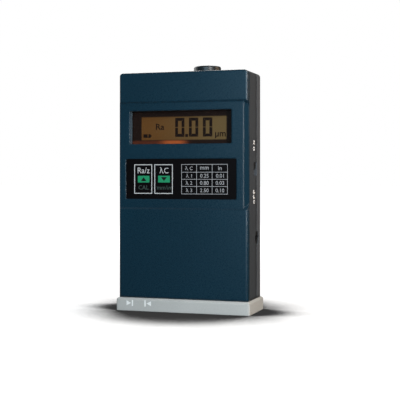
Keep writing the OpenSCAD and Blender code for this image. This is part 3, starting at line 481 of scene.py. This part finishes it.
NOTE_Z = 6.0 * MM
NOTE_H = 2.2 * MM
TABLE_LINE = 0.22 * MM
TABLE_X = [30.8 * MM, 39.1 * MM, 47.5 * MM, 55.8 * MM]
TABLE_Z = [2.6 * MM, 6.6 * MM, 10.3 * MM, 13.95 * MM, 18.1 * MM]
TABLE_ROWS = [("λ 3", "2.50", "0.10"), ("λ 2", "0.80", "0.03"), ("λ 1", "0.25", "0.01"),
              ("λ C", "mm", "in")]
CELL_H = 1.95 * MM
LOW_LETTERS = 0.75

film_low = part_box("keypad_overlay")[0]


def polyester(name, rgb):
    """Printed polyester: a smooth film with a soft matt grain."""
    material, shader, place = finish(name, Specular_IOR_Level=0.08)
    matt = place.noise(MATT_GRAIN)
    feed(shader, place, Base_Color=matt.colour(tone(rgb, 0.8), tone(rgb, 1.2)),
         Roughness=0.36 + 0.12 * matt, Normal=place.bump(matt, MATT_DEPTH))
    return material


def ring(x0, x1, y0, y1, w):
    """The four sides of a frame of line width w."""
    return [bar(x0, x1, y0, y0 + w), bar(x0, x1, y1 - w, y1),
            bar(x0, x0 + w, y0 + w, y1 - w), bar(x1 - w, x1, y0 + w, y1 - w)]


dress(polyester("black_film", FILM_BLACK), "keypad_overlay")
white_ink = ink("white_ink", PRINT_WHITE)
black_ink = ink("black_ink", FILM_BLACK)
grey_ink = ink("grey_ink", PRINT_GREY)
table_ink = ink("table_ink", TABLE_WHITE)
key_frames = [side for x0, x1 in KEY_FRAMES for side in ring(x0, x1, FRAME_LOW, FRAME_HIGH, FRAME_LINE)]
set_on(solid("key_frames", key_frames, INK_T, white_ink), film_low, FRONT)
field_mids = [(x0 + x1) / 2 + FIELD_SHIFT for x0, x1 in KEY_FRAMES]
fields = [bar(x - FIELD_W / 2, x + FIELD_W / 2, FIELD_LOW, FIELD_HIGH) for x in field_mids]
set_on(solid("key_fields", fields, INK_T, ink("green_ink", PRINT_GREEN)), film_low, FRONT)
arrow_mid = (FIELD_LOW + FIELD_HIGH) / 2
arrows = []
for x, way in zip(field_mids, (1, -1)):
    arrow_foot = arrow_mid - way * ARROW_H / 2
    arrow_tip = arrow_mid + way * ARROW_H / 2
    arrows.append([(x - ARROW_W / 2, arrow_foot), (x + ARROW_W / 2, arrow_foot), (x, arrow_tip)])
field_face = film_low + Vector((0, -INK_T, 0))
set_on(solid("key_arrows", arrows, INK_T, black_ink), field_face, FRONT)
for x, (side, legend, width, note) in zip(field_mids, KEY_WORDS):
    word = lettering("key_legend_" + side, legend, LEGEND_H, white_ink, width)
    set_on(word, film_low + Vector((x, 0, LEGEND_Z)), FRONT)
    word = lettering("key_note_" + side, note, NOTE_H, grey_ink)
    set_on(word, film_low + Vector((x, 0, NOTE_Z)), FRONT)

half_line = TABLE_LINE / 2
grid = ring(TABLE_X[0], TABLE_X[-1], TABLE_Z[0], TABLE_Z[-1], TABLE_LINE)
line_low = TABLE_Z[0] + TABLE_LINE
line_high = TABLE_Z[-1] - TABLE_LINE
grid += [bar(x - half_line, x + half_line, line_low, line_high) for x in TABLE_X[1:-1]]
stops = [TABLE_X[0] + half_line, *TABLE_X[1:-1], TABLE_X[-1] - half_line]
for x0, x1 in zip(stops, stops[1:]):
    grid += [bar(x0 + half_line, x1 - half_line, z - half_line, z + half_line) for z in TABLE_Z[1:-1]]
set_on(solid("table_lines", grid, INK_T, table_ink), film_low, FRONT)
for row, texts in enumerate(TABLE_ROWS):
    for column, text in enumerate(texts):
        height = CELL_H * (LOW_LETTERS if text == "mm" else 1)
        middle = Vector((TABLE_X[column] + TABLE_X[column + 1], 0, TABLE_Z[row] + TABLE_Z[row + 1])) / 2
        word = lettering(f"table_{row}_{column}", text, height, table_ink)
        set_on(word, film_low + middle, FRONT)


# Foot: a pale grey moulded block with a satin skin, screwed on from below.
# White marks printed on its front show where the stylus starts and ends its stroke.
FOOT_GREY = (182, 183, 180)
FOOT_EDGE = 0.9 * MM
FOOT_GRAIN = 0.3 * MM
FOOT_DEPTH = 0.004 * MM
MARK_WHITE = (232, 233, 231)
MARK_BARS = [-27.2 * MM, -20.1 * MM]
MARK_LOW = 2.5 * MM
MARK_HIGH = 5.7 * MM
MARK_BAR_W = 0.75 * MM
MARK_ARROW = 2.6 * MM
MARK_GAP = 0.35 * MM

dress(moulded("pale_foot", FOOT_GREY, 0.34, FOOT_GRAIN, FOOT_DEPTH, 0.5, edge=FOOT_EDGE), "base_foot")
mark_mid = (MARK_LOW + MARK_HIGH) / 2
marks = [bar(x - MARK_BAR_W / 2, x + MARK_BAR_W / 2, MARK_LOW, MARK_HIGH) for x in MARK_BARS]
for x, way in zip(MARK_BARS, (-1, 1)):
    tip = x + way * (MARK_BAR_W / 2 + MARK_GAP)
    back = tip + way * MARK_ARROW
    half_arrow = MARK_ARROW / 2
    marks.append([(tip, mark_mid), (back, mark_mid - half_arrow), (back, mark_mid + half_arrow)])
foot_front = Vector((0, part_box("base_foot")[0].y, 0))
set_on(solid("stroke_marks", marks, INK_T, ink("mark_ink", MARK_WHITE)), foot_front, FRONT)


# Start button: a turned black cap that slides in a thin bush pressed into the top.
# A wire spring under it lifts it off its switch.
BUTTON_BLACK = (26, 34, 38)
BUSH_BLACK = (24, 28, 31)
TURNED_GRAIN = 0.15 * MM
TURNED_DEPTH = 0.001 * MM

dress(moulded("black_button", BUTTON_BLACK, 0.36, TURNED_GRAIN, TURNED_DEPTH, 0.5), "start_button")
dress(moulded("black_bush", BUSH_BLACK, 0.3, TURNED_GRAIN, TURNED_DEPTH, 0.5), "button_bush")


# Power switch: a black slide knob with three grip ridges in its slot on the right side.
# ON and OFF are pad printed in white above and below it. The socket, the inner switches, the
# carriage, the battery holder and the parts on the board are of the same black plastic.
SWITCH_BLACK = (18, 19, 20)
SIDE_WHITE = (250, 250, 250)
SIDE = Matrix.Rotation(math.radians(90), 4, "Y") @ Matrix.Rotation(math.radians(180), 4, "Z")
SIDE_PRINT_Y = -0.9 * MM
SIDE_LETTER_H = 3.2 * MM
SIDE_LETTER_W = 2.0 * MM
SIDE_BOLD = 0.02
SIDE_WORDS = [("switch_on", "ON", 86.5 * MM, 3.2 * MM), ("switch_off", "OFF", 60.0 * MM, 2.6 * MM)]

dress(moulded("black_plastic", SWITCH_BLACK, 0.45), "power_slider", "power_switch", "charging_jack",
      "start_switch", "key_switches", "carriage", "limit_switches", "battery_holder", "board_parts")
side_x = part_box("middle_frame")[1].x
side_ink = ink("side_ink", SIDE_WHITE)
for name, text, z, pitch in SIDE_WORDS:
    for i, letter in enumerate(text):
        mark = lettering(f"{name}_{i}", letter, SIDE_LETTER_H, side_ink, SIDE_LETTER_W, SIDE_BOLD)
        along = (i - (len(text) - 1) / 2) * pitch
        set_on(mark, Vector((side_x, SIDE_PRINT_Y, z + along)), SIDE)


# Metal pieces: turned and rolled steel for the screws, rods, shaft, stylus arm and spring, brass
# for the gears and bearings, and nickel plate for the chassis, motor, contacts and pickup body.
STEEL = (190, 191, 194)
NICKEL = (176, 178, 182)
BRASS = (198, 160, 84)
TARNISH_SIZE = 3 * MM
DRAWN_SIZE = 0.08 * MM
DRAWN_DEPTH = 0.002 * MM


def turned(name, rgb, rough):
    """Bare metal with fine drawn lines and a light tarnish."""
    material, shader, place = finish(name, Metallic=1.0)
    tarnish = place.noise(TARNISH_SIZE, 3.0)
    lines = place.noise(DRAWN_SIZE, 1.0)
    feed(shader, place, Base_Color=tarnish.colour(tone(rgb, 0.8), tone(rgb, 1.1)),
         Roughness=rough + 0.15 * (tarnish - 0.5), Normal=place.bump(lines, DRAWN_DEPTH))
    return material


dress(turned("bright_steel", STEEL, 0.3), "case_screws", "base_screws", "board_screws",
      "chassis_screws", "motor_screws", "motor_shaft", "lead_screw", "guide_rods", "start_spring",
      "pivot_pin", "skid", "stylus_arm")
dress(turned("plated_sheet", NICKEL, 0.38), "drive_chassis", "drive_motor", "battery_contacts",
      "pickup_body")
dress(turned("brass", BRASS, 0.32), "drive_gear", "motor_pinion", "screw_bearings")


coil = bpy.data.objects.new("button_spring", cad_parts["start_spring"].data.copy())
bpy.context.scene.collection.objects.link(coil)
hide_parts("start_spring")
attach(coil, "case")
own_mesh(coil)


# Circuit board and keys: a green glass-epoxy board with etched tracks under its lacquer,
# screwed to posts of the front cover, and white acetal plungers over its two switches.
TRACK_PITCH = 2.6 * MM
TRACK_HIGH = 0.01 * MM
TRACK_PATCH = 9 * MM
WEAVE_SIZE = 0.4 * MM
LACQUER_GREEN = (24, 88, 54)
TRACK_GREEN = (58, 128, 78)
ACETAL_WHITE = (222, 221, 214)


def board_lacquer():
    """Green solder lacquer over tracks that show as paler, raised lines."""
    material, shader, place = finish("board_lacquer", Specular_IOR_Level=0.5)
    weave = place.noise(WEAVE_SIZE)
    wave = place.math("SINE", place.axis("X") * (math.tau / TRACK_PITCH))
    tracks = (wave > 0.6) * (place.noise(TRACK_PATCH, 0.0) > 0.52)
    lacquer = weave.colour(tone(LACQUER_GREEN, 0.9), tone(LACQUER_GREEN, 1.2))
    feed(shader, place, Base_Color=tracks.colour(lacquer, tone(TRACK_GREEN)),
         Roughness=0.35 + 0.1 * weave, Normal=place.bump(tracks, TRACK_HIGH))
    return material


dress(board_lacquer(), "main_board")
dress(moulded("white_acetal", ACETAL_WHITE, 0.4), "key_plunger_left", "key_plunger_right")


# Battery: three cells in shrink sleeves, side by side in a moulded holder.
# The sleeve is blue for most of its length and silver at the top.
SLEEVE_BLUE = (40, 70, 120)
SLEEVE_SILVER = (170, 172, 176)
SILVER_SHARE = 0.3
SHRINK_SIZE = 1.2 * MM
SHRINK_DEPTH = 0.01 * MM


def sleeve():
    """Shrink sleeve: two printed bands, with the soft waves of the shrinking."""
    material, shader, place = finish("cell_sleeve", Specular_IOR_Level=0.5)
    cell_low, cell_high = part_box("battery_cells")
    band_z = cell_high.z - SILVER_SHARE * (cell_high.z - cell_low.z)
    shrink = place.noise(SHRINK_SIZE)
    band = place.axis("Z") > band_z
    feed(shader, place, Base_Color=band.colour(tone(SLEEVE_BLUE), tone(SLEEVE_SILVER)),
         Roughness=0.3 + 0.15 * shrink, Normal=place.bump(shrink, SHRINK_DEPTH))
    return material


dress(sleeve(), "battery_cells")


# Pickup: the stylus arm rocks on its pin and bends a small ceramic element behind it.
# Its point is a ground diamond cone, brazed into the arm's end.
CERAMIC = (212, 198, 168)
DIAMOND = (214, 222, 232)
GROUND_GRAIN = 0.1 * MM
GROUND_DEPTH = 0.001 * MM

dress(moulded("ceramic", CERAMIC, 0.6, GROUND_GRAIN), "piezo_element")
dress(moulded("diamond", DIAMOND, 0.1, GROUND_GRAIN, GROUND_DEPTH, 0.8), "stylus_tip")


# Studio: a white floor and backdrop with a soft contact shadow, and a level camera at the case's
# height. Soft boxes stand in front, above, behind and at both sides, and one lies under the
# floor, which can be seen through from below.
CAMERA_AT = Vector((165.5, -494.5, 70.7)) * MM
CAMERA_LOOK = Vector((-0.3079, 0.9514, 0))
CAMERA_LENS = 88.5
CAMERA_SENSOR = 36.0
CAMERA_RISE = -0.0598
FLOOR_REACH = 6.0
FLOOR_DROP = -0.02 * MM
FLOOR_DULL = (0.3, 0.3, 0.3)
FLOOR_DIM = (0.04, 0.04, 0.04)
FLOOR_WHITE = (0.3, 0.3, 0.3)
FLOOR_SHADE = (0.04, 0.04, 0.04)
FLOOR_GLOW = (0.85, 0.85, 0.85)
CONTACT_REACH = 0.09
CONTACT_OPEN = (0.71, 0.9)
GLOW_REACH = (0.15, 0.5)
FLOOR_BACK = (2.0, 4.0)
ROOM_DARK = 0.04
ROOM_ABOVE = 0.5
ROOM_RISE = (0.2, 0.9)
MIRROR_ABOVE = 0.15
BACKDROP_LEFT = (0.05, 0.3)
BACKDROP_DEEP = (0.3, 0.7)
WHITE = (1.0, 1.0, 1.0)
BLACK = (0.0, 0.0, 0.0)
COLD_CARD = (200, 235, 255)
WARM_CARD = (255, 215, 170)
PLAIN_CARD = (255, 255, 255)
SOFT_BOXES = [("key_box", (0.28, -0.3, 0.2), (0, 0, 0.07), (0.04, 0.38), 1.5, PLAIN_CARD),
              ("strip_box", (0.2, -0.58, 0.2), (0, 0, 0.1), (0.025, 0.26), 0.12, PLAIN_CARD),
              ("front_card", (0.07, -0.8, 0.2), (0, 0, 0.08), (0.36, 0.4), 2.0, COLD_CARD),
              ("right_box", (0.75, 0.27, 0.4), (0, 0, 0.05), (0.5, 0.5), 2.6, WARM_CARD),
              ("top_box", (0.0, 0.45, 0.8), (0, 0, 0.05), (1.0, 0.8), 0.7, PLAIN_CARD),
              ("back_box", (-0.35, 0.65, 0.5), (0, 0, 0.06), (0.5, 0.4), 2.4, PLAIN_CARD),
              ("left_box", (-0.7, 0.2, 0.3), (0, 0, 0.06), (0.4, 0.4), 1.2, PLAIN_CARD),
              ("under_box", (0, 0, -0.5), (0, 0.001, 0), (0.4, 0.4), 1.2, PLAIN_CARD)]

floor_mesh = bpy.data.meshes.new("floor")
floor_corners = [(x * FLOOR_REACH, y * FLOOR_REACH, FLOOR_DROP)
                 for x, y in ((-1, -1), (1, -1), (1, 1), (-1, 1))]
floor_mesh.from_pydata(floor_corners, [], [(0, 1, 2, 3)])
floor = bpy.data.objects.new("floor", floor_mesh)
bpy.context.scene.collection.objects.link(floor)


def rays(place, *kinds):
    """1 for each named kind of ray, such as Camera, and 0 for the rest."""
    path = place.make("ShaderNodeLightPath")
    return [Wire(path.tree, path.node, "Is " + kind + " Ray") for kind in kinds]


floor_paint, floor_shader, floor_place = finish("white_floor", Roughness=0.9, Specular_IOR_Level=0.0,
                                                Emission_Strength=1.0)
open_sky = floor_place.make("ShaderNodeAmbientOcclusion", {"samples": 24},
                            {"Distance": CONTACT_REACH}, "AO")
contact = open_sky.ramp(*CONTACT_OPEN)
clear = contact * contact
away = floor_place.make("ShaderNodeVectorMath", {"operation": "LENGTH"}, {0: floor_place}, "Value")
far = away.ramp(*GLOW_REACH)
straight, glossy, through, shadow = rays(floor_place, "Camera", "Glossy", "Transmission", "Shadow")
from_below = floor_place.make("ShaderNodeNewGeometry", {}, {}, "Backfacing")
floor_seen = straight + through + glossy * floor_place.axis("Y").ramp(*FLOOR_BACK)
floor_unseen = glossy.colour(FLOOR_DULL, FLOOR_DIM)
feed(floor_shader, floor_place, Alpha=(1 - from_below) * (1 - shadow),
     Base_Color=floor_seen.colour(floor_unseen, clear.colour(BLACK, FLOOR_WHITE)),
     Emission_Color=floor_seen.colour(BLACK, clear.colour(FLOOR_SHADE, far.colour(FLOOR_GLOW, WHITE))))
floor_mesh.materials.append(floor_paint)

world = bpy.data.worlds.new("studio")
bpy.context.scene.world = world
world.use_nodes = True
sky = Wire(world.node_tree, world.node_tree.nodes.new("ShaderNodeTexCoord"), "Generated")
straight, glossy, through = rays(sky, "Camera", "Glossy", "Transmission")
above = sky.axis("Z").ramp(*ROOM_RISE)
behind = (0 - sky.axis("X")).ramp(*BACKDROP_LEFT) * sky.axis("Y").ramp(*BACKDROP_DEEP)
mirrored = behind + ROOM_DARK + MIRROR_ABOVE * above
lighting = ROOM_DARK + ROOM_ABOVE * above
level = straight + through + glossy * mirrored + (1 - straight - through - glossy) * lighting
sky.put(world.node_tree.nodes["Background"].inputs["Color"], level.colour(BLACK, WHITE))


def soft_box(name, place, target, size, power, rgb):
    """A rectangular lamp turned to its target. The camera doesn't see it."""
    light = bpy.data.lights.new(name, "AREA")
    light.shape = "RECTANGLE"
    light.size, light.size_y = size
    light.energy = power
    light.color = tone(rgb)
    lamp = bpy.data.objects.new(name, light)
    lamp.location = place
    lamp.visible_camera = False
    lamp.rotation_euler = (Vector(target) - Vector(place)).to_track_quat("-Z", "Y").to_euler()
    bpy.context.scene.collection.objects.link(lamp)


for soft_box_row in SOFT_BOXES:
    soft_box(*soft_box_row)

camera = bpy.data.cameras.new("camera")
camera.lens = CAMERA_LENS
camera.sensor_width = CAMERA_SENSOR
camera.shift_y = CAMERA_RISE
viewer = bpy.data.objects.new("camera", camera)
viewer.location = CAMERA_AT
viewer.rotation_euler = CAMERA_LOOK.to_track_quat("-Z", "Y").to_euler()
bpy.context.scene.collection.objects.link(viewer)
bpy.context.scene.camera = viewer
bpy.context.scene.view_settings.view_transform = "Standard"
